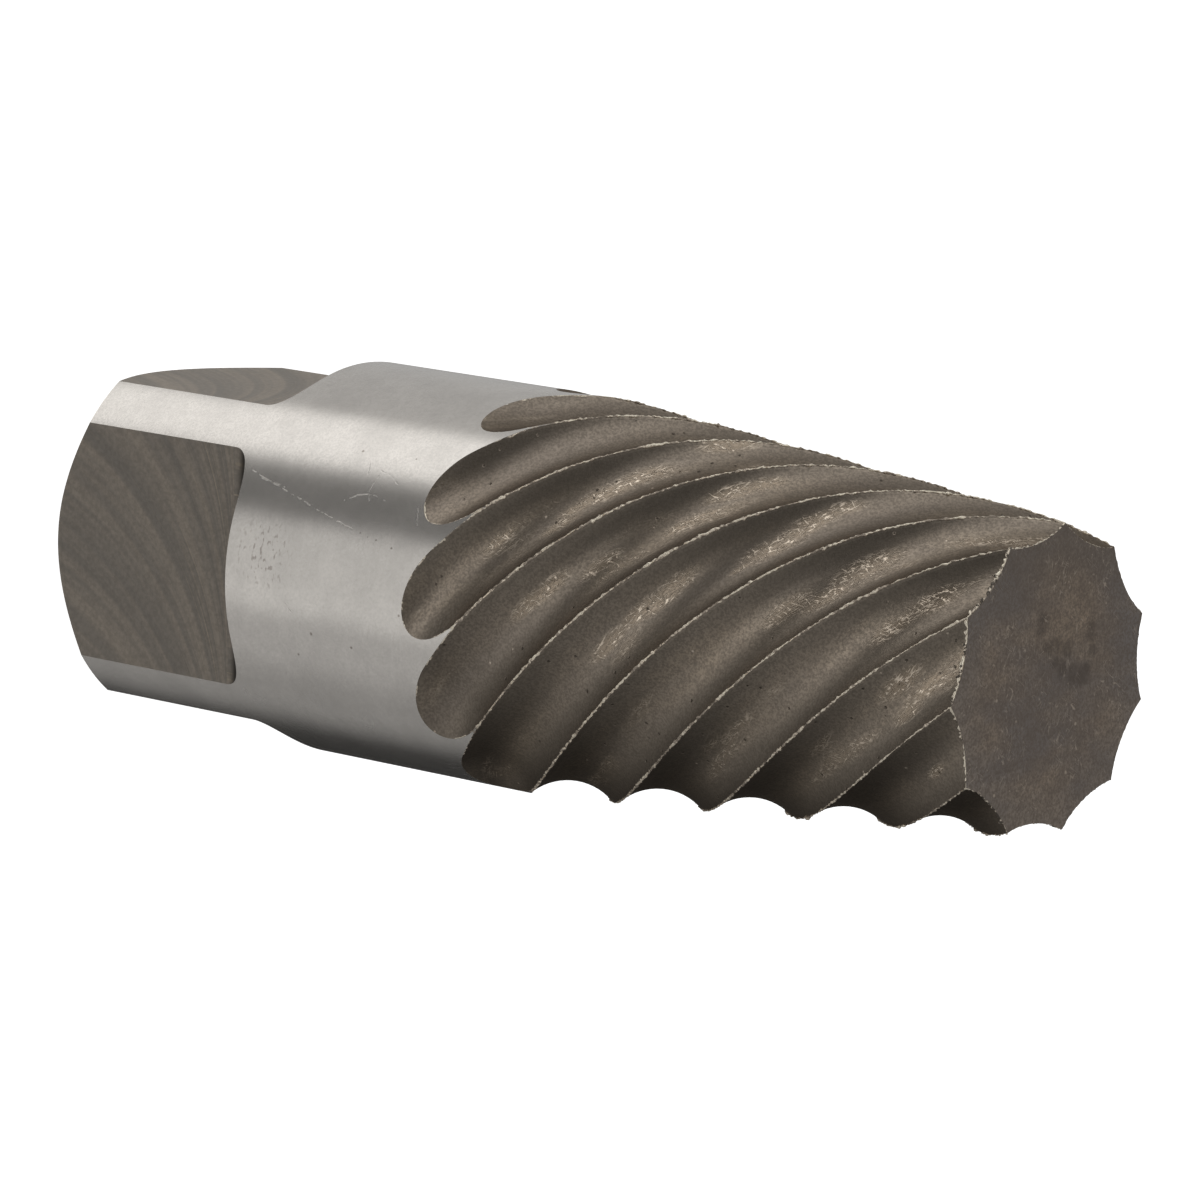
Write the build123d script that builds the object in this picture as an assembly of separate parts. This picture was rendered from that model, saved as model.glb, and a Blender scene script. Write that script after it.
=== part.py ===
from build123d import *
import os

# Spiral screw extractor, one piece of hardened tool steel.
# Millimetres and degrees. It stands on its square drive end: the origin is the
# centre of the end face, and +Z runs along the axis to the fluted tip.

# Turned blank
overall_length = 159.5
shank_diameter = 55.0
end_chamfer = 6.0
taper_start = 80.0
tip_diameter = 40.8

# Square drive, four flats milled on the shank
flat_count = 4
square_across_flats = 44.0
square_length = 38.7
shoulder_foot_radius = 4.2

# Left-hand flutes, cut with a round-nosed cutter
flute_count = 11
flute_lead = 174.0
flute_cutter_radius = 7.9
flute_cutter_arc = 140.0
flute_depth_at_start = 2.3
flute_depth_at_tip = 1.68
flute_angle_at_start = 30.69

# Run-out, where the cutter climbs out of the shank as it turns faster
runout_start = 79.5
runout_length = 13.0
runout_climb = 10.0
runout_turn = 18.0

# Overshoot of the cutting tools past the blank
cut_margin = 10.0

# Points along the cutter's path, sections of the cutter on it and points on each
helix_steps = 9
runout_steps = 4
section_count = 18
nose_steps = 4

shank_radius = shank_diameter / 2
tip_radius = tip_diameter / 2
taper_length = overall_length - taper_start
helix_step = (overall_length + cut_margin - runout_start) / helix_steps


def blank():
    """Turned body: chamfered end, round shank, taper and flat tip."""
    half_profile = Polygon(
        (0, 0),
        (shank_radius - end_chamfer, 0),
        (shank_radius, end_chamfer),
        (shank_radius, taper_start),
        (tip_radius, overall_length),
        (0, overall_length),
        align=None,
    )
    return revolve(Plane.XZ * half_profile, Axis.Z)


def flat_cutter():
    """Block that mills one flat; its rounded edge leaves the foot of the shoulder."""
    block = Box(
        shank_diameter,
        shank_radius,
        square_length + cut_margin,
        align=(Align.CENTER, Align.MAX, Align.MAX),
    )
    inner_edges = block.edges().filter_by(Axis.X).sort_by(Axis.Y)[-2:]
    foot = inner_edges.sort_by(Axis.Z)[-1]
    return Pos(0, -square_across_flats / 2, square_length) * fillet(foot, shoulder_foot_radius)


def cutter_centre(height):
    """Centre of the cutter at a height: a tapering left-hand helix that climbs out at its end."""
    along_taper = (height - taper_start) / taper_length
    surface = shank_radius + (tip_radius - shank_radius) * along_taper
    depth = flute_depth_at_start + (flute_depth_at_tip - flute_depth_at_start) * along_taper
    into_runout = max(0.0, (runout_start - height) / runout_length)
    radius = surface - depth + flute_cutter_radius + runout_climb * into_runout**2
    turn = 360 * (taper_start - height) / flute_lead + runout_turn * into_runout**2
    return Vector(radius, 0, height).rotate(Axis.Z, flute_angle_at_start + turn)


def cutter_path():
    """Path of the cutter's centre, from beyond the tip out through the shank."""
    taper = [overall_length + cut_margin - helix_step * step for step in range(helix_steps)]
    runout = [runout_start - runout_length * step / runout_steps for step in range(runout_steps + 1)]
    return Spline(*[cutter_centre(height) for height in taper + runout])


def cutter_section(path, travel):
    """Half-round section of the cutter, square to its path and with its nose to the axis."""
    centre = path @ travel
    outward = Vector(centre.X, centre.Y, 0)
    arc = CenterArc((0, 0), flute_cutter_radius, 180 - flute_cutter_arc / 2, flute_cutter_arc)
    points = [arc @ (step / nose_steps) for step in range(nose_steps + 1)]
    nose = Spline(*points, tangents=[arc % 0, arc % 1])
    back = Line(nose @ 1, nose @ 0)
    return Plane(origin=centre, x_dir=outward, z_dir=path % travel) * make_face([nose, back])


def flute_cutter():
    """Round-nosed cutter carried along one flute."""
    path = cutter_path()
    return loft([cutter_section(path, step / section_count) for step in range(section_count + 1)])


def around_axis(tool, count):
    """Equally spaced copies of a cutting tool around the axis."""
    return [Rot(0, 0, 360 / count * index) * tool for index in range(count)]


def extractor():
    """The blank with its square drive and its flutes cut."""
    body = blank()
    body -= around_axis(flat_cutter(), flat_count)
    body -= around_axis(flute_cutter(), flute_count)
    return body.solid()


os.makedirs("parts", exist_ok=True)
export_step(extractor(), "parts/extractor.step")
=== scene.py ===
import functools
import math
import random

import bmesh
import bpy
from mathutils import Matrix, Vector, noise


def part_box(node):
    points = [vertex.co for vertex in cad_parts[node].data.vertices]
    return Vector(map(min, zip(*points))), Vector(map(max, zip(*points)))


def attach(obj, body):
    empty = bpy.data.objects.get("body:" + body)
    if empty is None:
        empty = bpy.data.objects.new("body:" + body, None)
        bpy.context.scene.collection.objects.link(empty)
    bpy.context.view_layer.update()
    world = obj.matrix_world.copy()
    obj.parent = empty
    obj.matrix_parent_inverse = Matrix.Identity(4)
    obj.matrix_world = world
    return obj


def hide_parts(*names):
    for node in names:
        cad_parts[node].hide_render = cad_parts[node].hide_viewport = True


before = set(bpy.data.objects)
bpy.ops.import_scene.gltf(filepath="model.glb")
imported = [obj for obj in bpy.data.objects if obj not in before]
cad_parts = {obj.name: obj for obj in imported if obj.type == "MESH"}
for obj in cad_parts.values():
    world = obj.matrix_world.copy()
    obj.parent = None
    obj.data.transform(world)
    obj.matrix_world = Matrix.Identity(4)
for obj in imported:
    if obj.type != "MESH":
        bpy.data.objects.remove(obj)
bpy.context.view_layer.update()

bl_info = {
    "name": "Screw extractor",
    "version": (1, 0, 0),
    "blender": (4, 5, 0),
    "location": "3D View > Sidebar > Extractor",
    "description": "Builds a spiral screw extractor with its ground, milled and hardened finishes",
    "category": "Object",
}

NODE = "extractor"
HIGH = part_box(NODE)[1]


# Sizes and colours

class ExtractorSizes(bpy.types.PropertyGroup):
    """Sizes of the extractor, in metres and radians"""
    length: bpy.props.FloatProperty(
        name="Length", description="Overall length", default=HIGH.z, unit="LENGTH")
    shank_radius: bpy.props.FloatProperty(
        name="Shank radius", description="Radius of the ground shank", default=HIGH.x, unit="LENGTH")
    tip_radius: bpy.props.FloatProperty(
        name="Tip radius", description="Radius of the taper at the tip", default=0.0204, unit="LENGTH")
    taper_start: bpy.props.FloatProperty(
        name="Taper start", description="Height where the taper starts", default=0.080, unit="LENGTH")
    end_chamfer: bpy.props.FloatProperty(
        name="End chamfer", description="Chamfer of the drive end", default=0.006, unit="LENGTH")
    square: bpy.props.FloatProperty(
        name="Square", description="Size of the square across its flats", default=0.044, unit="LENGTH")
    square_length: bpy.props.FloatProperty(
        name="Square length", description="Height of the shoulder above the end", default=0.0387,
        unit="LENGTH")
    shoulder_foot: bpy.props.FloatProperty(
        name="Shoulder foot", description="Radius at the foot of the shoulder", default=0.0042,
        unit="LENGTH")
    flutes: bpy.props.IntProperty(
        name="Flutes", description="Number of left-hand flutes", default=11, min=3)
    flute_radius: bpy.props.FloatProperty(
        name="Flute radius", description="Radius of the flute's round bottom", default=0.0079, unit="LENGTH")
    flute_lead: bpy.props.FloatProperty(
        name="Flute lead", description="Height of one full turn of a flute", default=0.174, unit="LENGTH")
    flute_turn: bpy.props.FloatProperty(
        name="Flute angle", description="Place of the first flute at the start of the taper",
        default=math.radians(30.69), unit="ROTATION")
    depth_at_start: bpy.props.FloatProperty(
        name="Depth at start", description="Flute depth at the start of the taper", default=0.00248,
        unit="LENGTH")
    depth_at_tip: bpy.props.FloatProperty(
        name="Depth at tip", description="Flute depth at the tip", default=0.00183, unit="LENGTH")
    runout_start: bpy.props.FloatProperty(
        name="Run-out start", description="Height where the flutes begin to climb out", default=0.0795,
        unit="LENGTH")
    runout_length: bpy.props.FloatProperty(
        name="Run-out length", description="Height over which the cutter climbs out", default=0.013,
        unit="LENGTH")
    runout_climb: bpy.props.FloatProperty(
        name="Run-out climb", description="How far the cutter climbs", default=0.0108, unit="LENGTH")
    runout_turn: bpy.props.FloatProperty(
        name="Run-out turn", description="Extra turn of the cutter while it climbs",
        default=math.radians(18.0), unit="ROTATION")


class ExtractorColours(bpy.types.PropertyGroup):
    """Colours of the extractor's finishes"""
    ground: bpy.props.FloatVectorProperty(
        name="Ground steel", description="Ground shank", subtype="COLOR", size=3,
        default=(0.81, 0.77, 0.718))
    milled: bpy.props.FloatVectorProperty(
        name="Milled flats", description="Flats of the square", subtype="COLOR", size=3,
        default=(0.30, 0.27, 0.235))
    fluted: bpy.props.FloatVectorProperty(
        name="Hardened flutes", description="Scale of the heat treatment in the flutes", subtype="COLOR",
        size=3, default=(0.352, 0.30, 0.244))
    tip: bpy.props.FloatVectorProperty(
        name="Tip face", description="Stained face at the small end", subtype="COLOR", size=3,
        default=(0.41, 0.338, 0.283))
    burr: bpy.props.FloatVectorProperty(
        name="Burrs", description="Bright torn metal on the edges", subtype="COLOR", size=3,
        default=(1.0, 0.86, 0.70))


def sizes():
    """The sizes as the user left them."""
    return bpy.context.scene.extractor_sizes


def colours():
    """The colours as the user left them."""
    return bpy.context.scene.extractor_colours


# Editing

# points closer than this are at the same place
TOUCH = 1e-6


def deselect_all():
    """Leave edit mode and select nothing."""
    if bpy.context.mode != "OBJECT":
        bpy.ops.object.mode_set(mode="OBJECT")
    bpy.ops.object.select_all(action="DESELECT")


def activate(piece):
    """Make a piece the only selected and active one."""
    deselect_all()
    piece.select_set(True)
    bpy.context.view_layer.objects.active = piece


def start_edit(piece, mode="VERT"):
    """Enter edit mode on a piece with nothing selected."""
    activate(piece)
    bpy.ops.object.mode_set(mode="EDIT")
    bpy.ops.mesh.select_mode(type=mode)
    bpy.ops.mesh.select_all(action="DESELECT")
    return bmesh.from_edit_mesh(piece.data)


def end_edit():
    """Go back to object mode."""
    bpy.ops.object.mode_set(mode="OBJECT")


def keep_place_in_mesh(piece):
    """Put the piece's place into its mesh, so that its object sits at the origin."""
    activate(piece)
    bpy.ops.object.transform_apply(location=True, rotation=True, scale=True)


def close_seams(piece, gap=TOUCH):
    """Merge doubled points and turn all faces outwards."""
    start_edit(piece)
    bpy.ops.mesh.select_all(action="SELECT")
    bpy.ops.mesh.remove_doubles(threshold=gap)
    bpy.ops.mesh.normals_make_consistent(inside=False)
    end_edit()


def shade_smooth(piece):
    """Shade every face of a piece smooth."""
    faces = piece.data.polygons
    faces.foreach_set("use_smooth", [True] * len(faces))


def turned_copies(piece, count):
    """Copies of a piece around the tool's axis, each with its own mesh."""
    copies = [piece]
    for index in range(1, count):
        turned = piece.copy()
        turned.data = piece.data.copy()
        turned.data.transform(Matrix.Rotation(2 * math.pi * index / count, 4, "Z"))
        bpy.context.collection.objects.link(turned)
        copies.append(turned)
    return copies


def cut_away(piece, cutters):
    """Cut each cutter out of the piece, and delete the cutters."""
    activate(piece)
    for cutter in cutters:
        cut = piece.modifiers.new("cut", "BOOLEAN")
        cut.operation = "DIFFERENCE"
        cut.solver = "MANIFOLD"
        cut.object = cutter
        before = len(piece.data.polygons)
        bpy.ops.object.modifier_apply(modifier=cut.name)
        if len(piece.data.polygons) == before:
            raise RuntimeError("a cutter left the piece as it was")
    for cutter in cutters:
        bpy.data.objects.remove(cutter)


# Body

FLATS = 4
ROUND_SIDES = 264
FOOT_SEGMENTS = 16
FLUTE_STEP = 0.001
RUNOUT_STEPS = 20
CUTTER_ROUNDNESS = 30
CUTTER_OVERSHOOT = 0.006
FLAT_CUTTER_OVERSHOOT = 0.01
SHARP_ANGLE = math.radians(30)
# a face this far under the turned surface was cut by a flute or by a flat
FLUTE_SINK = 2e-5
FLAT_SINK = 1e-4
# a face on either end looks along the axis at least this much, and lies this near to the end
END_FACING = 0.999
END_REACH = 1e-5
# faces of the chamfer lean more than the first, and those of the shank and the taper less than the second
CHAMFER_LEAN = 0.6
GROUND_LEAN = 0.3
# a face of the shank looks outwards at least this much
OUTWARD_FACING = 0.99
# places of the finishes in BODY_FINISHES
GROUND, MILLED, FLUTE, TIP, DRIVE_END = range(5)


def along_taper(height):
    """Place of a height along the taper: 0 at its start and 1 at the tip."""
    s = sizes()
    return (height - s.taper_start) / (s.length - s.taper_start)


def turned_radius(along):
    """Radius of the turned blank at a place along its taper."""
    s = sizes()
    return s.shank_radius + (s.tip_radius - s.shank_radius) * along


def turned_blank():
    """Round bar with its taper and the chamfer of the drive end."""
    s = sizes()
    middle = (s.taper_start + s.length) / 2
    deselect_all()
    bpy.ops.mesh.primitive_cylinder_add(
        vertices=ROUND_SIDES, radius=s.shank_radius, depth=s.length, location=(0, 0, s.length / 2))
    blank = bpy.context.active_object
    blank.name = "extractor_body"
    keep_place_in_mesh(blank)
    start_edit(blank)
    for height in (s.taper_start, s.taper_start / 2, middle):
        bpy.ops.mesh.select_all(action="SELECT")
        bpy.ops.mesh.bisect(plane_co=(0, 0, height), plane_no=(0, 0, 1), threshold=1e-7)
    mesh = bmesh.from_edit_mesh(blank.data)
    for height in (middle, s.length):
        size = 1 + (s.tip_radius / s.shank_radius - 1) * along_taper(height)
        bpy.ops.mesh.select_all(action="DESELECT")
        for vert in mesh.verts:
            vert.select = abs(vert.co.z - height) < TOUCH
        mesh.select_flush(True)
        bpy.ops.transform.resize(value=(size, size, 1), center_override=(0, 0, height))
    bpy.ops.mesh.select_mode(type="EDGE")
    bpy.ops.mesh.select_all(action="DESELECT")
    for edge in bmesh.from_edit_mesh(blank.data).edges:
        edge.select = all(abs(vert.co.z) < TOUCH for vert in edge.verts)
    bpy.ops.mesh.bevel(offset=s.end_chamfer, offset_type="OFFSET", segments=1)
    end_edit()
    return blank


def flat_cutter():
    """Block that mills one flat of the square, with a rounded edge for the foot of the shoulder."""
    s = sizes()
    depth = s.shank_radius
    height = s.square_length + FLAT_CUTTER_OVERSHOOT
    deselect_all()
    bpy.ops.mesh.primitive_cube_add(
        size=1, location=(0, -s.square / 2 - depth / 2, s.square_length - height / 2),
        scale=(2 * s.shank_radius + FLAT_CUTTER_OVERSHOOT, depth, height))
    block = bpy.context.active_object
    keep_place_in_mesh(block)
    mesh = start_edit(block, "EDGE")
    for edge in mesh.edges:
        edge.select = all(
            abs(vert.co.z - s.square_length) < TOUCH and abs(vert.co.y + s.square / 2) < TOUCH
            for vert in edge.verts)
    bpy.ops.mesh.bevel(offset=s.shoulder_foot, segments=FOOT_SEGMENTS)
    end_edit()
    return block


def cutter_centre(height):
    """Centre of the flute cutter at a height: a tapering left-hand helix that climbs out at its end."""
    s = sizes()
    along = along_taper(height)
    depth = s.depth_at_start + (s.depth_at_tip - s.depth_at_start) * along
    lift = max(0.0, (s.runout_start - height) / s.runout_length)
    radius = turned_radius(along) - depth + s.flute_radius + s.runout_climb * lift**2
    turn = s.flute_turn + 2 * math.pi * (s.taper_start - height) / s.flute_lead + s.runout_turn * lift**2
    return Vector((radius * math.cos(turn), radius * math.sin(turn), height))


def cutter_line():
    """Points of the cutter's centre, from beyond the tip down through the run-out."""
    s = sizes()
    heights = []
    height = s.length + CUTTER_OVERSHOOT
    while height > s.runout_start:
        heights.append(height)
        height -= FLUTE_STEP
    for index in range(RUNOUT_STEPS + 1):
        heights.append(s.runout_start - s.runout_length * index / RUNOUT_STEPS)
    return [cutter_centre(height) for height in heights]


def flute_cutter():
    """Round cutter carried along one flute."""
    points = cutter_line()
    line = bpy.data.curves.new("flute_cutter", "CURVE")
    line.dimensions = "3D"
    spline = line.splines.new("POLY")
    spline.points.add(len(points) - 1)
    for point, place in zip(spline.points, points):
        point.co = (*place, 1)
    line.bevel_depth = sizes().flute_radius
    line.bevel_resolution = CUTTER_ROUNDNESS
    line.use_fill_caps = True
    cutter = bpy.data.objects.new("flute_cutter", line)
    bpy.context.collection.objects.link(cutter)
    activate(cutter)
    bpy.ops.object.convert(target="MESH")
    close_seams(cutter)
    return cutter


def is_milled(face):
    """Whether a face is on a flat, on the foot of the shoulder or on the shoulder wall."""
    s = sizes()
    centre = face.center
    on_chamfer = centre.z < s.end_chamfer and face.normal.z < -CHAMFER_LEAN
    if on_chamfer or centre.z > s.square_length + TOUCH:
        return False
    out = Vector((centre.x, centre.y, 0)).normalized()
    sunk = s.shank_radius - math.hypot(centre.x, centre.y)
    return sunk > FLAT_SINK or face.normal.dot(out) < OUTWARD_FACING


def give_finishes(body):
    """Give each face of the body its finish by the surface it lies on."""
    s = sizes()
    for face in body.data.polygons:
        centre = face.center
        sunk = turned_radius(max(0.0, along_taper(centre.z))) - math.hypot(centre.x, centre.y)
        if face.normal.z > END_FACING and centre.z > s.length - END_REACH:
            face.material_index = TIP
        elif face.normal.z < -END_FACING and centre.z < END_REACH:
            face.material_index = DRIVE_END
        elif is_milled(face):
            face.material_index = MILLED
        elif centre.z > s.runout_start - s.runout_length and sunk > FLUTE_SINK:
            face.material_index = FLUTE
        else:
            face.material_index = GROUND


def faces_of_edges(mesh):
    """The faces on either side of each edge, by the edge's two points."""
    faces = {}
    for face in mesh.polygons:
        for key in face.edge_keys:
            faces.setdefault(key, []).append(face)
    return faces


def mark_sharp_edges(body):
    """Mark the edges where two finishes or two steep faces meet."""
    faces = faces_of_edges(body.data)
    for edge in body.data.edges:
        beside = faces[edge.key]
        finishes = {face.material_index for face in beside}
        angle = beside[0].normal.angle(beside[1].normal) if len(beside) == 2 else 0.0
        edge.use_edge_sharp = len(finishes) > 1 or angle > SHARP_ANGLE


def round_normals(body):
    """Shade the ground faces as the exact cylinder and cone they lie on, so that no narrow face shows."""
    s = sizes()
    mesh = body.data
    normals = [corner.vector.copy() for corner in mesh.corner_normals]
    slope = (s.shank_radius - s.tip_radius) / (s.length - s.taper_start)
    for face in mesh.polygons:
        if face.material_index != GROUND or abs(face.normal.z) > GROUND_LEAN:
            continue
        rise = slope if face.center.z > s.taper_start else 0.0
        for corner in face.loop_indices:
            place = mesh.vertices[mesh.loops[corner].vertex_index].co
            out = Vector((place.x, place.y, 0)).normalized()
            normals[corner] = Vector((out.x, out.y, rise)).normalized()
    mesh.normals_split_custom_set(normals)


class EXTRACTOR_OT_body(bpy.types.Operator):
    """Turn, mill and flute the body of the extractor"""
    bl_idname = "extractor.body"
    bl_label = "Body"

    def execute(self, context):
        body = turned_blank()
        cut_away(body, turned_copies(flat_cutter(), FLATS))
        cut_away(body, turned_copies(flute_cutter(), sizes().flutes))
        body.data.materials.clear()
        for finish in BODY_FINISHES:
            body.data.materials.append(finish())
        give_finishes(body)
        shade_smooth(body)
        mark_sharp_edges(body)
        round_normals(body)
        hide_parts(NODE)
        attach(body, "root")
        return {"FINISHED"}


# Burrs

BURR_STEP = 0.0002
BURR_SEED = 7
BURR_WANDER = 0.00014
BURR_MERGE = 0.00006
NODULE_SHARE = 0.012
CREST_BURR = 0.000112
RIM_BURR = 0.00011
# scales of the noises that swell a burr and move it sideways
SLOW_SWELL, QUICK_SWELL, WANDER_SCALE = 350, 2100, 2200
# the flutes' edges are followed above this height, and torn only here and there below the second one
CREST_LOW = 0.066
SPARSE_BELOW = 0.0755
# the side of the tip's rim that is torn most, as an azimuth
TORN_SIDE = math.radians(-105)
# places where the rim of a flute end is torn too: x, y, height and radius in millimetres
HEAVY_BURRS = (
    (-12.9, -24.2, 71.9, 1.1), (-12.2, -24.6, 73.0, 1.3), (-11.6, -24.9, 74.6, 1.4), (2.9, -27.3, 72.8, 0.5),
)


def finish_border(body, finishes, above):
    """Edges of the body between two finishes, as a new object."""
    activate(body)
    bpy.ops.object.duplicate()
    line = bpy.context.active_object
    border = set()
    for key, beside in faces_of_edges(line.data).items():
        found = tuple(sorted(face.material_index for face in beside))
        if found in finishes and all(line.data.vertices[index].co.z > above for index in key):
            border.add(key)
    mesh = start_edit(line, "EDGE")
    for edge in mesh.edges:
        edge.select = tuple(sorted(vert.index for vert in edge.verts)) in border
    bpy.ops.mesh.select_all(action="INVERT")
    bpy.ops.mesh.delete(type="EDGE_FACE")
    end_edit()
    mesh = start_edit(line)
    for vert in mesh.verts:
        vert.select = not vert.link_edges
    bpy.ops.mesh.delete(type="VERT")
    bpy.ops.mesh.select_all(action="SELECT")
    bpy.ops.mesh.remove_doubles(threshold=BURR_MERGE)
    end_edit()
    line.data.materials.clear()
    return line


def even_points(points, step, closed):
    """Points at even steps along a line."""
    if closed:
        points = points + [points[0]]
    spaced = [points[0].copy()]
    left = step
    for start, end in zip(points, points[1:]):
        way = end - start
        length = way.length
        done = 0.0
        while length - done >= left:
            done += left
            spaced.append(start + way * (done / length))
            left = step
        left -= length - done
    return spaced


def burr_size(place, thickness, seed, draw, heavy_side):
    """Half the thickness of a burr at a place: slow and quick swells, with a nodule now and then."""
    slow = noise.noise(place * SLOW_SWELL + Vector((seed, 0, 0)))
    quick = noise.noise(place * QUICK_SWELL + Vector((0, seed, 0)))
    size = thickness * max(0.1, 0.75 + 0.9 * slow + 1.3 * quick)
    if draw.random() < NODULE_SHARE:
        size *= draw.uniform(1.6, 2.6)
    if any((place - Vector(spot[:3]) / 1000).length < spot[3] / 1000 for spot in HEAVY_BURRS):
        size = thickness * (1.8 + 0.9 * quick)
    elif place.z < SPARSE_BELOW:
        size *= max(0.05, min(1.0, 6 * (slow - 0.15)))
    if heavy_side is not None:
        size *= 0.6 + 1.5 * max(0.0, math.cos(math.atan2(place.y, place.x) - heavy_side))
    return size


def burr_bead(line, name, thickness, seed, dark, heavy_side=None):
    """Turn the edges into a thin bead of uneven thickness and a ragged course."""
    s = sizes()
    activate(line)
    bpy.ops.object.convert(target="CURVE")
    draw = random.Random(seed)
    noise.seed_set(seed)
    bead = bpy.data.curves.new(name, "CURVE")
    bead.dimensions = "3D"
    bead.bevel_depth = 1.0
    bead.bevel_resolution = 1
    bead.use_fill_caps = True
    for spline in line.data.splines:
        points = [Vector(point.co[:3]) for point in spline.points]
        if len(points) < 3:
            continue
        places = even_points(points, BURR_STEP, spline.use_cyclic_u)
        if len(places) < 6:
            continue
        ragged = bead.splines.new("POLY")
        ragged.points.add(len(places) - 1)
        ragged.use_cyclic_u = spline.use_cyclic_u
        for point, place in zip(ragged.points, places):
            size = burr_size(place, thickness, seed, draw, heavy_side)
            side = noise.noise_vector(place * WANDER_SCALE + Vector((0, 0, seed)))
            place = place + side * BURR_WANDER
            radius = min(math.hypot(place.x, place.y), s.shank_radius - size)
            outward = Vector((place.x, place.y, 0)).normalized()
            point.co = (outward.x * radius, outward.y * radius, min(place.z, s.length - size), 1)
            point.radius = size
    line.data = bead
    line.name = name
    activate(line)
    bpy.ops.object.convert(target="MESH")
    close_seams(line, 1e-7)
    shade_smooth(line)
    line.data.materials.append(torn_metal(name.replace("_", " "), dark))
    return line


class EXTRACTOR_OT_burrs(bpy.types.Operator):
    """Raise the torn bright burrs along the crests, the flute ends and the rim of the tip"""
    bl_idname = "extractor.burrs"
    bl_label = "Burrs"

    def execute(self, context):
        body = bpy.data.objects["extractor_body"]
        edges = finish_border(body, {(GROUND, FLUTE)}, CREST_LOW)
        crests = burr_bead(edges, "crest_burrs", CREST_BURR, BURR_SEED, dark=1.3)
        edges = finish_border(body, {(FLUTE, TIP), (GROUND, TIP)}, sizes().taper_start)
        rim = burr_bead(edges, "tip_rim_burrs", RIM_BURR, BURR_SEED + 1, dark=0.35, heavy_side=TORN_SIDE)
        for piece in (crests, rim):
            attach(piece, "root")
        return {"FINISHED"}


# Nodes

ORIGIN = (0.0, 0.0, 0.0)


def connect(value, socket):
    """Give a socket a value: a field, or a plain number, colour or vector."""
    if isinstance(value, Field):
        value.tree.links.new(value.socket, socket)
    else:
        socket.default_value = value


def new_node(tree, kind, *values, **options):
    """A node with its first inputs in order, its settings in small letters and its other inputs by name."""
    node = tree.nodes.new("ShaderNode" + kind)
    for name, value in options.items():
        if name[0].islower():
            setattr(node, name, value)
    for value, socket in zip(values, node.inputs):
        connect(value, socket)
    for name, value in options.items():
        if name[0].isupper():
            connect(value, node.inputs[name.replace("_", " ")])
    return node


class Field:
    """What one output of a node gives: a number, vector or colour that changes over the surface."""

    def __init__(self, socket):
        self.socket = socket
        self.tree = socket.id_data

    def math(self, operation, *others):
        """A math operation on this number and others."""
        return Field(new_node(self.tree, "Math", self, *others, operation=operation).outputs[0])

    def math_after(self, operation, first):
        """A math operation on a plain number and this one."""
        return Field(new_node(self.tree, "Math", first, self, operation=operation).outputs[0])

    def __add__(self, other):
        return self.math("ADD", other)

    def __radd__(self, first):
        return self.math_after("ADD", first)

    def __sub__(self, other):
        return self.math("SUBTRACT", other)

    def __rsub__(self, first):
        return self.math_after("SUBTRACT", first)

    def __mul__(self, other):
        return self.math("MULTIPLY", other)

    def __truediv__(self, other):
        return self.math("DIVIDE", other)

    def __abs__(self):
        return self.math("ABSOLUTE")

    def vector(self, operation, *others):
        """A vector operation on this vector and others."""
        outputs = new_node(self.tree, "VectorMath", self, *others, operation=operation).outputs
        return Field(outputs["Value" if operation in ("DOT_PRODUCT", "LENGTH", "DISTANCE") else "Vector"])

    def stretch(self, x, y, z):
        """This vector with each axis times its own factor."""
        return self.vector("MULTIPLY", (x, y, z))

    def scaled(self, factor):
        """This vector or colour times one factor."""
        return Field(new_node(self.tree, "VectorMath", self, operation="SCALE", Scale=factor).outputs[0])

    def turned(self, angle):
        """This vector turned about Z."""
        node = new_node(self.tree, "VectorRotate", rotation_type="Z_AXIS", Vector=self, Angle=angle)
        return Field(node.outputs[0])

    def axes(self):
        """The X, Y and Z of this vector."""
        return [Field(output) for output in new_node(self.tree, "SeparateXYZ", self).outputs]

    def ramp(self, low, high, to_low=0.0, to_high=1.0):
        """Smooth step of this number from one range to another."""
        node = new_node(self.tree, "MapRange", interpolation_type="SMOOTHSTEP", Value=self, From_Min=low,
                        From_Max=high, To_Min=to_low, To_Max=to_high)
        return Field(node.outputs["Result"])

    def noise(self, scale, detail=3.0, roughness=0.5, distortion=0.0):
        """A noise from 0 to 1 at this place."""
        node = new_node(self.tree, "TexNoise", Vector=self, Scale=scale, Detail=detail, Roughness=roughness,
                        Distortion=distortion)
        return Field(node.outputs["Fac"])

    def wandering(self, scale, reach):
        """This place shifted unevenly, so that marks on it lose their straight lines and round edges."""
        noise_colour = Field(new_node(self.tree, "TexNoise", Vector=self, Scale=scale).outputs["Color"])
        shift = noise_colour.vector("SUBTRACT", (0.5, 0.5, 0.5)).stretch(reach, reach, 0.0)
        return self.vector("ADD", shift)


def joined(x, y=0.0):
    """A flat vector from its X and Y."""
    return Field(new_node(x.tree, "CombineXYZ", x, y).outputs[0])


def strongest(*masks):
    """The largest of several masks."""
    return functools.reduce(lambda level, mask: level.math("MAXIMUM", mask), masks)


def layered(colour, *layers):
    """A colour with others laid over it, each by its mask."""
    for mask, over in layers:
        node = new_node(mask.tree, "Mix", data_type="RGBA", Factor=mask, A=colour, B=over)
        colour = Field(node.outputs["Result"])
    return colour


def toned(colour, red, green, blue):
    """A plain colour with its own gain on each part."""
    return (colour[0] * red, colour[1] * green, colour[2] * blue, 1.0)


def shade(colour, gain=1.0):
    """A plain colour made lighter or darker."""
    return toned(colour, gain, gain, gain)


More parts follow.
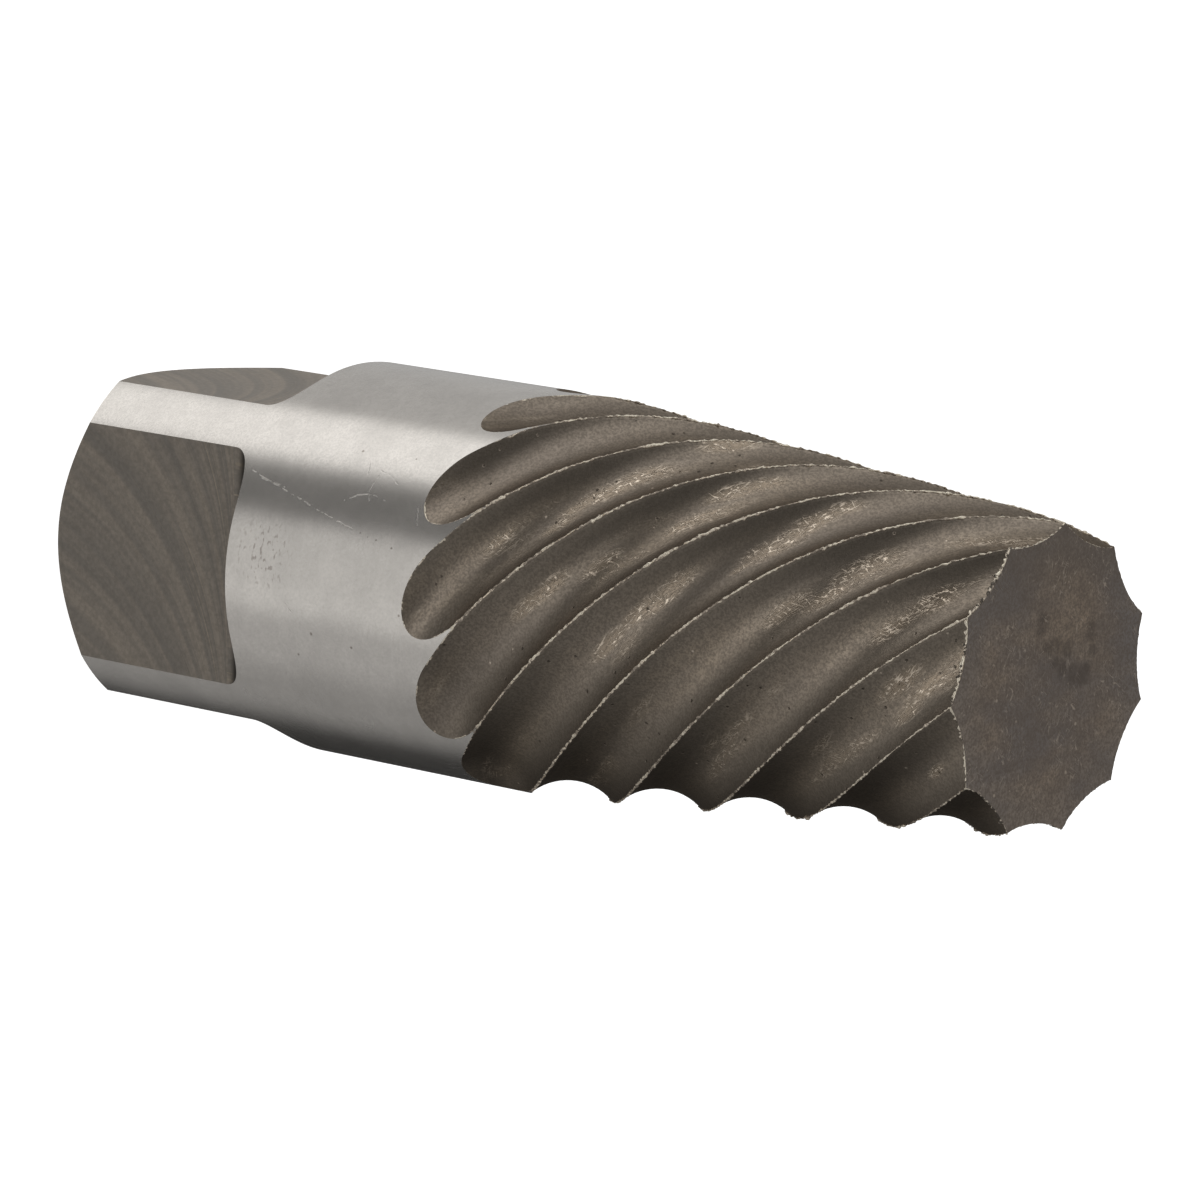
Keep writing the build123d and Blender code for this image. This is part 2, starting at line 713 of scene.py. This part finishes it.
def build_group(build, inputs):
    """A node group around what a function makes of its place and its other inputs."""
    tree = bpy.data.node_groups.new(build.__name__.replace("_", " "), "ShaderNodeTree")
    for label, default in {"Place": ORIGIN, **inputs}.items():
        kind = "Float" if isinstance(default, float) else {3: "Vector", 4: "Color"}[len(default)]
        socket = tree.interface.new_socket(
            label.replace("_", " "), in_out="INPUT", socket_type="NodeSocket" + kind)
        socket.default_value = default
    given = tree.nodes.new("NodeGroupInput").outputs
    made = build(*[Field(given[index]) for index in range(len(inputs) + 1)])
    for label, field in made.items():
        kind = {"VALUE": "Float", "VECTOR": "Vector", "RGBA": "Color"}[field.socket.type]
        tree.interface.new_socket(label, in_out="OUTPUT", socket_type="NodeSocket" + kind)
    wanted = tree.nodes.new("NodeGroupOutput").inputs
    for label, field in made.items():
        connect(field, wanted[label])
    return tree


def shared_effect(**inputs):
    """Make a function of a place a node group, built once, that each material places with its own values."""
    def wrap(build):
        group = functools.cache(lambda: build_group(build, inputs))

        @functools.wraps(build)
        def placed(place, **values):
            node = new_node(place.tree, "Group", node_tree=group(), Place=place, **values)
            fields = [Field(output) for output in node.outputs]
            return fields if len(fields) > 1 else fields[0]
        return placed
    return wrap


# Effects that the materials share

@shared_effect(Lead=0.174)
def along_flutes(place, lead):
    """Place that follows the flutes: untwisted, so that every flute runs straight up."""
    _, _, z = place.axes()
    return {"Place": place.turned(z * (2 * math.pi) / lead)}


@shared_effect(Radius=0.0275)
def unrolled_shank(place, radius):
    """Place unrolled from the shank: length round it in X and height in Y."""
    x, y, z = place.axes()
    return {"Place": joined(y.math("ARCTAN2", x) * radius, z)}


@shared_effect(Flutes=11.0, First=0.0)
def across_flute(place, flutes, first):
    """Place across a flute: 0 on its bottom, 0.5 on either crest."""
    x, y, _ = place.axes()
    turn = (y.math("ARCTAN2", x) - first) * (flutes / (2 * math.pi))
    return {"Across": turn - turn.math("ROUND")}


@shared_effect(Scale=400.0, Width=0.02, Cluster_Scale=60.0, Cluster_Level=0.5, Wander=0.6)
def scratches(place, scale, width, cluster_scale, cluster_level, wander):
    """Thin wandering scratches in clusters."""
    line = abs(place.noise(scale, 1.0, 0.4, wander) - 0.5).ramp(width, 0.0)
    there = place.noise(cluster_scale, 2.0, 0.6).ramp(cluster_level, cluster_level + 0.08)
    return {"Mask": line * there}


@shared_effect(Turn=0.0, Scale=1100.0, Width=0.04, Cut_Scale=1200.0, Cut_Level=0.5)
def strokes(place, turn, scale, width, cut_scale, cut_level):
    """Short straight strokes in one direction: drawn-out ridges of a noise, cut up by a finer noise."""
    turned = place.turned(turn)
    line = abs(turned.stretch(1.0, 0.14, 1.0).noise(scale, 0.0) - 0.5).ramp(width, 0.0)
    cut = turned.stretch(1.0, 0.45, 1.0).noise(cut_scale, 1.0)
    return {"Mask": line * cut.ramp(cut_level, cut_level + 0.05)}


@shared_effect(Scale=500.0, Size=0.25, Share=0.1)
def pits(place, scale, size, share):
    """Small round pits in a share of the cells of a Voronoi pattern."""
    cells = new_node(place.tree, "TexVoronoi", Vector=place, Scale=scale).outputs
    pick = Field(new_node(place.tree, "SeparateColor", Field(cells["Color"])).outputs[0])
    return {"Mask": Field(cells["Distance"]).ramp(size, size * 0.4) * pick.math("LESS_THAN", share)}


@shared_effect(Centre=ORIGIN, Radius=0.001)
def round_patch(place, centre, radius):
    """One soft round patch."""
    return {"Mask": place.vector("DISTANCE", centre).ramp(radius, radius * 0.25)}


@shared_effect(Start=ORIGIN, End=ORIGIN, Width=0.0002)
def straight_mark(place, start, end, width):
    """One straight mark between two places."""
    way = end.vector("SUBTRACT", start)
    offset = place.vector("SUBTRACT", start)
    share = offset.vector("DOT_PRODUCT", way) / way.vector("DOT_PRODUCT", way)
    nearest = way.scaled(share.math("MAXIMUM", 0.0).math("MINIMUM", 1.0))
    return {"Mask": offset.vector("DISTANCE", nearest).ramp(width, width * 0.3)}


@shared_effect(Scale=60.0, Contrast=0.2)
def clouds(place, scale, contrast):
    """Soft uneven patches, from 0 to 1."""
    return {"Mask": place.noise(scale, 5.0, 0.6).ramp(0.5 - contrast, 0.5 + contrast)}


@shared_effect(Bright=(0.8, 0.7, 0.6, 1.0), Dark=(0.2, 0.2, 0.2, 1.0))
def torn_steel(place, bright, dark):
    """Torn metal: its colour, with bright flecks on dark scale, and its height."""
    level = place.noise(380.0, 2.0, 0.6) * 0.55 + place.noise(2200.0, 2.0, 0.6) * 0.45
    return {"Colour": layered(dark, (level.ramp(0.44, 0.51), bright)), "Height": level}


@shared_effect(Radius=0.053, Top=0.0345)
def mill_travel(place, radius, top):
    """Travel of the face mill whose arc passes through a place on one of the four flats."""
    x, y, z = place.axes()
    side = new_node(place.tree, "Mix", Factor=abs(y).math("GREATER_THAN", abs(x)),
                    A=y * -1.0 * x.math("SIGN"), B=x * y.math("SIGN"))
    height = z - top + radius
    reach = (radius * radius - height * height).math("MAXIMUM", 0.0).math("SQRT")
    return {"Travel": reach - Field(side.outputs["Result"])}


@shared_effect(Azimuth=0.0, Half_Width=20.0, Side_Blur=5.0, Elevation=0.0, Half_Height=20.0, Top_Blur=5.0)
def soft_bank(place, azimuth, half_width, side_blur, elevation, half_height, top_blur):
    """One soft bank of light in the studio, where the place is a direction and the angles are in degrees."""
    x, y, z = place.axes()
    angle = azimuth.math("RADIANS")
    facing = x * angle.math("COSINE") + y * angle.math("SINE")
    flat_length = place.stretch(1, 1, 0).vector("LENGTH").math("MAXIMUM", 0.0001)
    aside = (facing / flat_length).math("ARCCOSINE").math("DEGREES")
    above = abs(z.math("ARCSINE").math("DEGREES") - elevation)
    side = aside.ramp(half_width + side_blur, half_width - side_blur)
    return {"Mask": side * above.ramp(half_height + top_blur, half_height - top_blur)}


# Materials

def empty_tree(owner):
    """The cleared node tree of a material or of the world."""
    owner.use_nodes = True
    owner.node_tree.nodes.clear()
    return owner.node_tree


def new_material(name, metallic, **options):
    """A material with a Principled shader, and the place on the object that its patterns follow."""
    material = bpy.data.materials.new(name)
    tree = empty_tree(material)
    shader = new_node(tree, "BsdfPrincipled", Metallic=metallic, **options)
    new_node(tree, "OutputMaterial", Surface=Field(shader.outputs["BSDF"]))
    return material, Field(new_node(tree, "TexCoord").outputs["Object"])


def finished(material, tint, rough, relief, depth, strength):
    """Give a material its colour, its roughness and its relief."""
    surface = material.node_tree.nodes["Principled BSDF"].inputs
    bump = new_node(material.node_tree, "Bump", Height=relief, Distance=depth, Strength=strength)
    connect(tint, surface["Base Color"])
    connect(rough, surface["Roughness"])
    connect(Field(bump.outputs["Normal"]), surface["Normal"])
    return material


def patch_at(place, centre, radius):
    """Mask of a soft round patch, with its radius in millimetres."""
    return round_patch(place, Centre=centre, Radius=radius / 1000)


# places on the shank, as azimuth in degrees and height in millimetres
SHANK_SCRATCHES = (
    ((238.9, 38.9), (240.6, 41.5), (245.4, 49.8), (249.5, 56.7), (251.3, 60.6)),
    ((241.2, 41.6), (242.7, 46.3)),
    ((230.7, 59.1), (234.6, 59.7)),
    ((234.7, 61.7), (239.3, 61.3), (242.3, 61.9)),
    ((243.5, 57.7), (241.4, 59.5), (240.4, 62.0), (241.8, 64.7)),
    ((232.8, 61.4), (234.0, 63.9), (236.2, 65.5)),
    ((242.2, 70.8), (247.0, 71.7)),
    ((275.2, 49.8), (277.8, 51.1)),
)
SCRATCH_WIDTH = 0.00012
# the same, with the radius in millimetres
SHANK_SPECKS = (
    (227.6, 56.7, 0.32), (283.2, 54.5, 0.32), (290.4, 51.4, 0.25), (227.3, 66.5, 0.2),
    (252.0, 62.2, 0.16), (253.2, 65.3, 0.2), (254.6, 68.4, 0.22), (252.8, 63.8, 0.14),
)
SHANK_DAPPLE = (262.5, 45.5, 7.0)


def unrolled(azimuth, height):
    """A place on the shank, unrolled as in the shared effect, in metres."""
    angle = math.radians(azimuth if azimuth <= 180 else azimuth - 360)
    return (angle * sizes().shank_radius, height / 1000, 0.0)


def shank_marks(place):
    """Masks of the bright scratches and of the dark specks on the shank."""
    flat = unrolled_shank(place, Radius=sizes().shank_radius)
    loose = flat.wandering(900.0, 0.0005)
    lines = [straight_mark(loose, Start=unrolled(*start), End=unrolled(*end), Width=SCRATCH_WIDTH)
             for scratch in SHANK_SCRATCHES for start, end in zip(scratch, scratch[1:])]
    bright = strongest(*lines) * flat.noise(800.0, 1.0).ramp(0.36, 0.56)
    spots = [patch_at(loose, unrolled(azimuth, height), radius) for azimuth, height, radius in SHANK_SPECKS]
    azimuth, height, radius = SHANK_DAPPLE
    flecks = flat.stretch(0.6, 1.0, 1.0).noise(1500.0, 2.0).ramp(0.56, 0.66)
    return bright, strongest(*spots, patch_at(flat, unrolled(azimuth, height), radius) * flecks * 0.7)


def ground_steel():
    """Bright ground shank: fine grain, light scratches, dark specks and torn crests between the flutes."""
    material, place = new_material("ground steel", 0.93)
    steel = colours().ground
    start = sizes().taper_start
    _, _, z = place.axes()
    bright, dark = shank_marks(place)
    lines = place.stretch(1, 1, 14).noise(160.0, 3.0, 0.65)
    grain = place.noise(3000.0, 2.0, 0.6)
    mottle = place.noise(1100.0, 2.0, 0.6)
    scratch = scratches(place, Scale=330.0, Width=0.01, Cluster_Scale=110.0, Cluster_Level=0.62, Wander=1.2)
    specks = pits(place, Scale=700.0, Size=0.2, Share=0.02)
    crest = z.ramp(start, start + 0.004)
    torn, torn_height = torn_steel(place, Bright=shade(colours().burr), Dark=shade(colours().fluted, 0.8))
    tint = layered(
        shade(steel, 0.96),
        (clouds(place, Scale=150.0, Contrast=0.2), shade(steel, 1.08)),
        (grain.ramp(0.35, 0.7, 0.0, 0.26), shade(steel, 0.72)),
        (mottle.ramp(0.4, 0.7, 0.0, 0.2), shade(steel, 0.78)),
        (lines.ramp(0.4, 0.65, 0.0, 0.05), shade(steel, 0.72)),
        (strongest(specks, dark) * 0.75, shade(colours().tip, 0.6)),
        (crest, torn))
    rough = grain.ramp(0.3, 0.7, 0.18, 0.22) + strongest(bright * 0.2, crest * 0.25, scratch * 0.12)
    relief = lines * 0.03 + grain * 0.2 - scratch * 0.4 - bright * 1.6 + crest * torn_height * 6.0
    return finished(material, tint, rough, relief, 0.00001, 0.6)


# painted light: the flat at the back is a lighter copy of the flats' colour; the X where it starts to be,
# where it is, and the gain
BACK_FLAT_FROM, BACK_FLAT_TO, BACK_FLAT_PAINTED_LIGHT_GAIN = -0.0215, -0.0219, 1.45


def milled_flat():
    """Dull milled flats with arcs of the face mill, painted shade at the shoulder's foot, painted light on
    the back flat.
    """
    material, place = new_material("milled flat", 0.9)
    flat = colours().milled
    top = sizes().square_length
    x, _, z = place.axes()
    _, _, slow_z = place.stretch(0.03, 0.03, 0.03).axes()
    track = joined(mill_travel(place), slow_z)
    broad = track.noise(330.0, 2.0)
    fine = track.noise(1500.0, 3.0, 0.7)
    grain = place.noise(1800.0, 3.0, 0.6)
    near_top = z.ramp(top - 0.02, top - 0.006)
    foot = z.ramp(top - 0.0038, top - 0.002)
    tint = layered(
        toned(flat, 0.84, 0.85, 0.86),
        (broad.ramp(0.32, 0.68), toned(flat, 1.22, 1.18, 1.13)),
        (fine.ramp(0.4, 0.75, 0.0, 0.35), shade(flat, 0.75)),
        (fine.ramp(0.56, 0.68) * (0.12 + near_top * 0.4), toned(flat, 1.9, 1.75, 1.5)),
        (clouds(place, Scale=120.0, Contrast=0.3) * 0.2, shade(flat, 0.8)),
        (grain.ramp(0.3, 0.7, 0.0, 0.3), shade(flat, 0.75)))
    tint = layered(
        tint,
        # painted light: the flat at the back made lighter than the others
        (x.ramp(BACK_FLAT_FROM, BACK_FLAT_TO), tint.scaled(BACK_FLAT_PAINTED_LIGHT_GAIN)),
        # painted shade in the hollow at the foot of the shoulder
        (foot * 0.85, shade(flat, 0.12)))
    relief = broad * 1.2 + fine + grain * 0.5
    return finished(material, tint, grain.ramp(0.3, 0.7, 0.5, 0.62), relief, 0.00003, 0.6)


# worn patches in the flutes: x, y, height and radius in millimetres
FLUTE_WEAR = (
    (-17.7, -15.9, 96.9, 2.4), (-20.0, -12.6, 100.2, 2.4), (-15.3, -16.7, 111.0, 1.5),
    (-16.5, -15.2, 113.1, 1.5), (-19.6, -11.7, 114.7, 2.0), (-20.9, -9.0, 117.8, 1.6),
    (-24.5, -3.7, 106.9, 2.0), (-14.0, -16.2, 125.6, 2.6), (-16.3, -13.8, 128.2, 1.7),
    (-17.9, -12.1, 129.3, 1.8), (-19.6, -9.6, 131.8, 1.6), (-5.8, -21.9, 111.9, 2.2),
    (-8.1, -21.1, 113.8, 2.0), (-3.9, -22.6, 109.2, 2.0), (-11.2, -18.7, 122.5, 1.0),
    (-13.4, -15.2, 140.8, 2.9), (-9.5, -18.3, 137.0, 2.2), (-7.3, -19.7, 131.6, 2.2),
    (-5.1, -23.6, 94.0, 2.0), (-2.6, -24.3, 91.1, 1.8), (-9.1, -21.6, 101.1, 1.8),
    (-15.3, -18.5, 93.7, 1.6), (-13.2, -20.4, 92.7, 1.6), (-10.2, -22.8, 84.3, 1.5),
    (0.9, -23.2, 104.5, 2.0), (-10.9, -16.0, 152.7, 2.4), (-6.8, -18.4, 147.8, 1.9),
    (-0.1, -19.7, 150.6, 2.2), (-0.7, -19.0, 155.2, 2.0), (3.4, -19.3, 151.8, 1.6),
    (11.1, -15.7, 154.1, 1.2),
)
WEAR_STRETCH = 0.5
# strokes in the worn patches: direction in degrees, scale, width and level of the cuts
WEAR_STROKES = ((6, 2000.0, 0.072, 0.46), (-38, 1800.0, 0.06, 0.47), (47, 1700.0, 0.055, 0.48))
FLUTE_MEAN_RADIUS = 0.024


def flute_wear(along, across):
    """Mask of the worn patches: the ones in the list, and scattered ones on the same flank."""
    near = along.stretch(1, 1, WEAR_STRETCH)
    patches = []
    for x, y, height, radius in FLUTE_WEAR:
        turn = 2 * math.pi * height / 1000 / sizes().flute_lead
        centre = Matrix.Rotation(turn, 4, "Z") @ Vector((x, y, height))
        centre = (centre.x / 1000, centre.y / 1000, centre.z * WEAR_STRETCH / 1000)
        patches.append(patch_at(near, centre, radius))
    flank = abs(across + 0.02).ramp(0.34, 0.1)
    loose = along.stretch(1, 1, 0.4).noise(130.0, 2.0, 0.6).ramp(0.52, 0.68)
    return strongest(*patches, flank * loose * 0.7)


def hardened_flute():
    """Flutes under a thin scale of heat treatment, worn bright in patches, with small pits, painted shade
    toward the crests and on one flank, and painted light on the other flank.
    """
    material, place = new_material("hardened flute", 0.95, Specular_Tint=(0.45, 0.42, 0.4, 1.0))
    s = sizes()
    scale = colours().fluted
    along = along_flutes(place, Lead=s.flute_lead)
    first = s.flute_turn + 2 * math.pi * s.taper_start / s.flute_lead
    across = across_flute(along, Flutes=float(s.flutes), First=first)
    wear = flute_wear(along, across)
    grain = place.noise(2800.0, 3.0, 0.7)
    blotch = place.noise(900.0, 2.0, 0.6)
    streak = along.stretch(1, 1, 0.12).noise(900.0, 3.0, 0.6)
    flat = unrolled_shank(along, Radius=FLUTE_MEAN_RADIUS)
    rubs = [strokes(flat, Turn=math.radians(turn), Scale=fineness, Width=width, Cut_Scale=2200.0,
                    Cut_Level=level)
            for turn, fineness, width, level in WEAR_STROKES]
    flecks = pits(place, Scale=1500.0, Size=0.27, Share=0.26)
    nicks = pits(place, Scale=800.0, Size=0.2, Share=0.02)
    holes = pits(place, Scale=900.0, Size=0.24, Share=0.05)
    shine = strongest(strongest(*rubs, flecks) * wear, nicks * 0.6)
    tint = layered(
        toned(scale, 0.88, 0.88, 0.9),
        (clouds(along.stretch(1, 1, 0.5), Scale=110.0, Contrast=0.22), toned(scale, 1.14, 1.1, 1.04)),
        # painted shade: each flute darker toward its crests
        (1.0 - abs(across + 0.1).ramp(0.42, 0.12), shade(scale, 0.92)),
        (blotch.ramp(0.4, 0.7, 0.0, 0.4), shade(scale, 0.66)),
        (grain.ramp(0.38, 0.62, 0.0, 0.7), shade(scale, 0.55)),
        (streak.ramp(0.5, 0.8, 0.0, 0.15), shade(scale, 1.4)),
        (wear * 0.26, toned(scale, 1.75, 1.6, 1.38)),
        (shine * 0.9, shade(colours().burr, 1.05)),
        (holes * 0.8, shade(scale, 0.3)))
    # painted shade on one flank of each flute and painted light on the other
    tint = tint.scaled(across.ramp(-0.4, 0.4, 0.9, 1.08))
    rough = grain.ramp(0.3, 0.7, 0.34, 0.43) - wear * 0.06
    relief = grain + streak * 0.2 + shine * 2.5 - holes * 4.0
    return finished(material, tint, rough, relief, 0.00003, 0.7)


# stains on the tip face: x, y and radius in millimetres
TIP_STAINS = (
    (-4.3, -0.6, 1.8), (-4.15, 1.2, 2.1), (-3.9, 3.3, 1.8), (-2.3, 0.9, 1.3), (-1.2, 2.6, 1.7),
    (-0.2, 4.6, 2.1), (0.1, 6.4, 2.1), (-0.8, 7.8, 1.5), (-8.2, -2.4, 1.6), (-6.6, -2.7, 1.4),
    (-6.4, 8.1, 1.4), (-5.0, 8.2, 1.5), (-3.2, 8.8, 1.4),
)
# directions of the strokes on the tip face, in degrees
TIP_STROKES = (35, -55, 85)


def tip_face():
    """Dull stained face at the small end."""
    material, place = new_material("tip face", 0.8)
    face = colours().tip
    x, _, _ = place.axes()
    wide = place.stretch(1.0, 0.5, 1.0)
    small = clouds(wide, Scale=420.0, Contrast=0.12)
    grain = place.noise(2600.0, 3.0, 0.7)
    rubs = [strokes(place, Turn=math.radians(turn), Scale=1800.0, Width=0.03, Cut_Scale=1500.0,
                    Cut_Level=0.55)
            for turn in TIP_STROKES]
    scratch = strongest(*rubs) * clouds(place, Scale=170.0, Contrast=0.12)
    loose = place.wandering(450.0, 0.0015)
    stain = strongest(*[patch_at(loose, (across / 1000, up / 1000, sizes().length), radius)
                        for across, up, radius in TIP_STAINS])
    rim = place.stretch(1, 1, 0).vector("LENGTH").ramp(0.012, 0.0195)
    tint = layered(
        toned(face, 0.78, 0.82, 0.89),
        (clouds(wide, Scale=90.0, Contrast=0.13), toned(face, 1.23, 1.18, 1.07)),
        (small * 0.5, shade(face, 0.7)),
        (rim * 0.35, (face[2] * 1.25, face[2] * 1.2, face[2] * 1.18, 1.0)),
        (grain.ramp(0.38, 0.62, 0.0, 0.75), shade(face, 0.6)),
        (stain * 0.6, shade(face, 0.42)),
        (x.ramp(-0.009, -0.016) * 0.5, shade(face, 0.6)),
        (scratch * 0.5, shade(colours().burr, 0.9)),
        (pits(place, Scale=650.0, Size=0.22, Share=0.05) * 0.6, shade(colours().burr, 0.8)))
    relief = grain + scratch * -1.0 - stain
    return finished(material, tint, small.ramp(0.0, 1.0, 0.5, 0.6), relief, 0.00004, 0.6)


def drive_end():
    """Faced drive end with fine turned rings."""
    material, place = new_material("drive end", 0.95)
    rings = joined(place.stretch(1, 1, 0).vector("LENGTH")).noise(1800.0, 3.0, 0.7)
    grain = place.noise(1500.0, 3.0, 0.6)
    tint = layered(shade(colours().milled, 0.9), (rings.ramp(0.3, 0.7), shade(colours().milled, 1.4)))
    return finished(material, tint, grain.ramp(0.3, 0.7, 0.4, 0.5), rings + grain * 0.3, 0.00002, 0.5)


def torn_metal(name, dark):
    """Bright torn metal of the burrs, with some duller bits."""
    material, place = new_material(name, 0.55)
    torn, height = torn_steel(place, Bright=shade(colours().burr, 1.1), Dark=shade(colours().fluted, dark))
    return finished(material, torn, height.ramp(0.4, 0.6, 0.45, 0.3), height, 0.00006, 0.8)


BODY_FINISHES = (ground_steel, milled_flat, hardened_flute, tip_face, drive_end)


# Stage

CAMERA_PLACE = Vector((-0.14055, -0.70022, 0.68619))
CAMERA_AIM = Vector((0.0, 0.0, 0.08273))
CAMERA_ROLL = math.radians(10.18)
CAMERA_LENS = 207.06
FLOOR_RADIUS = 6.0
PAPER = 0.9

ROOM_LIGHT = 0.32
# azimuth, half width, blur, elevation, half height, blur, brightness added, all angles in degrees
BANKS = (
    (128, 42, 12, -30, 45, 12, 0.21),
    (191, 18, 5.5, -15, 40, 12, 0.93),
    (272, 27, 8, -37, 19, 10, 0.31),
    (261, 14, 8, -22, 12, 8, 0.95),
    (204, 11, 8, -15, 15, 8, 0.32),
    (308, 27, 15, -25, 26, 14, 0.20),
    (175, 25, 12, 14, 12, 9, 0.26),
    (325, 25, 15, 14, 12, 9, 0.12),
    (250, 60, 15, 57, 13, 9, 1.0),
)
# the same, with the share of light that is left
FLAGS = (
    (47, 30, 17, -45, 45, 15, 0.08),
    (230, 13, 5, -20, 36, 10, 0.52),
    (246, 30, 14, 17, 20, 9, 0.28),
    (18, 45, 25, -18, 12, 7, 0.25),
    (25, 40, 20, -72, 16, 6, 0.45),
    (0, 200, 5, -87, 26, 12, 0.70),
)


def add_camera():
    """A long lens on the flutes' side, rolled so that the tool's axis lies across the view."""
    back = (CAMERA_PLACE - CAMERA_AIM).normalized()
    along = (Vector((0, 0, 1)) - back * back.z).normalized()
    across = back.cross(along)
    right = along * math.cos(CAMERA_ROLL) + across * math.sin(CAMERA_ROLL)
    up = across * math.cos(CAMERA_ROLL) - along * math.sin(CAMERA_ROLL)
    lens = bpy.data.cameras.new("camera")
    lens.lens = CAMERA_LENS
    lens.sensor_width = 36.0
    lens.sensor_fit = "HORIZONTAL"
    camera = bpy.data.objects.new("camera", lens)
    bpy.context.collection.objects.link(camera)
    turn = Matrix((right, up, back)).transposed()
    camera.matrix_world = Matrix.Translation(CAMERA_PLACE) @ turn.to_4x4()
    bpy.context.scene.camera = camera


def bank_mask(direction, azimuth, half_width, side_blur, elevation, half_height, top_blur):
    """Mask of one bank or flag of the lists."""
    return soft_bank(direction, Azimuth=azimuth, Half_Width=half_width, Side_Blur=side_blur,
                     Elevation=elevation, Half_Height=half_height, Top_Blur=top_blur)


def add_world():
    """A pale studio: white behind the tool, with soft banks of light that the metal reflects."""
    world = bpy.data.worlds.new("studio")
    tree = empty_tree(world)
    path = new_node(tree, "LightPath").outputs
    way = Field(new_node(tree, "TexCoord").outputs["Generated"])
    level = ROOM_LIGHT
    for *shape, gain in BANKS:
        level = level + bank_mask(way, *shape) * gain
    for *shape, left in FLAGS:
        level = level * (1.0 - bank_mask(way, *shape) * (1 - left))
    level = strongest(level, Field(path["Is Camera Ray"]), Field(path["Is Transmission Ray"]))
    shine = new_node(tree, "Background", Strength=level)
    new_node(tree, "OutputWorld", Surface=Field(shine.outputs["Background"]))
    world.cycles.sampling_method = "MANUAL"
    world.cycles.sample_map_resolution = 512
    bpy.context.scene.world = world


def floor_paper():
    """White paper, with a glow that only the camera sees."""
    material = bpy.data.materials.new("floor")
    tree = empty_tree(material)
    seen = Field(new_node(tree, "LightPath").outputs["Is Camera Ray"])
    paper = new_node(tree, "BsdfDiffuse", Color=(PAPER, PAPER, PAPER, 1))
    glow = new_node(tree, "Emission", Strength=seen * PAPER)
    both = new_node(tree, "AddShader", Field(paper.outputs["BSDF"]), Field(glow.outputs["Emission"]))
    new_node(tree, "OutputMaterial", Surface=Field(both.outputs["Shader"]))
    return material


class EXTRACTOR_OT_stage(bpy.types.Operator):
    """Set up the floor, the studio's light and the camera"""
    bl_idname = "extractor.stage"
    bl_label = "Stage"

    def execute(self, context):
        deselect_all()
        bpy.ops.mesh.primitive_circle_add(
            vertices=96, radius=FLOOR_RADIUS, fill_type="NGON", location=(0, 0, 0))
        floor = context.active_object
        floor.name = "floor"
        floor.data.materials.append(floor_paper())
        floor.visible_glossy = False
        floor.visible_shadow = False
        add_world()
        add_camera()
        context.scene.view_settings.view_transform = "Standard"
        return {"FINISHED"}


class EXTRACTOR_PT_panel(bpy.types.Panel):
    """Sizes, colours and the buttons that build the extractor"""
    bl_idname = "EXTRACTOR_PT_panel"
    bl_label = "Screw extractor"
    bl_space_type = "VIEW_3D"
    bl_region_type = "UI"
    bl_category = "Extractor"

    def draw(self, context):
        for name in ExtractorSizes.__annotations__:
            self.layout.prop(sizes(), name)
        for name in ExtractorColours.__annotations__:
            self.layout.prop(colours(), name)
        for operator in ("extractor.body", "extractor.burrs", "extractor.stage"):
            self.layout.operator(operator)


CLASSES = (
    ExtractorSizes,
    ExtractorColours,
    EXTRACTOR_OT_body,
    EXTRACTOR_OT_burrs,
    EXTRACTOR_OT_stage,
    EXTRACTOR_PT_panel,
)


def register():
    """Register the classes, and give the scene its sizes and colours."""
    for cls in CLASSES:
        bpy.utils.register_class(cls)
    bpy.types.Scene.extractor_sizes = bpy.props.PointerProperty(type=ExtractorSizes)
    bpy.types.Scene.extractor_colours = bpy.props.PointerProperty(type=ExtractorColours)


def unregister():
    """Undo what register did."""
    del bpy.types.Scene.extractor_colours
    del bpy.types.Scene.extractor_sizes
    for cls in reversed(CLASSES):
        bpy.utils.unregister_class(cls)


def main():
    """Build the extractor and its stage."""
    register()
    bpy.ops.extractor.body()
    bpy.ops.extractor.burrs()
    bpy.ops.extractor.stage()


if __name__ == "__main__":
    main()
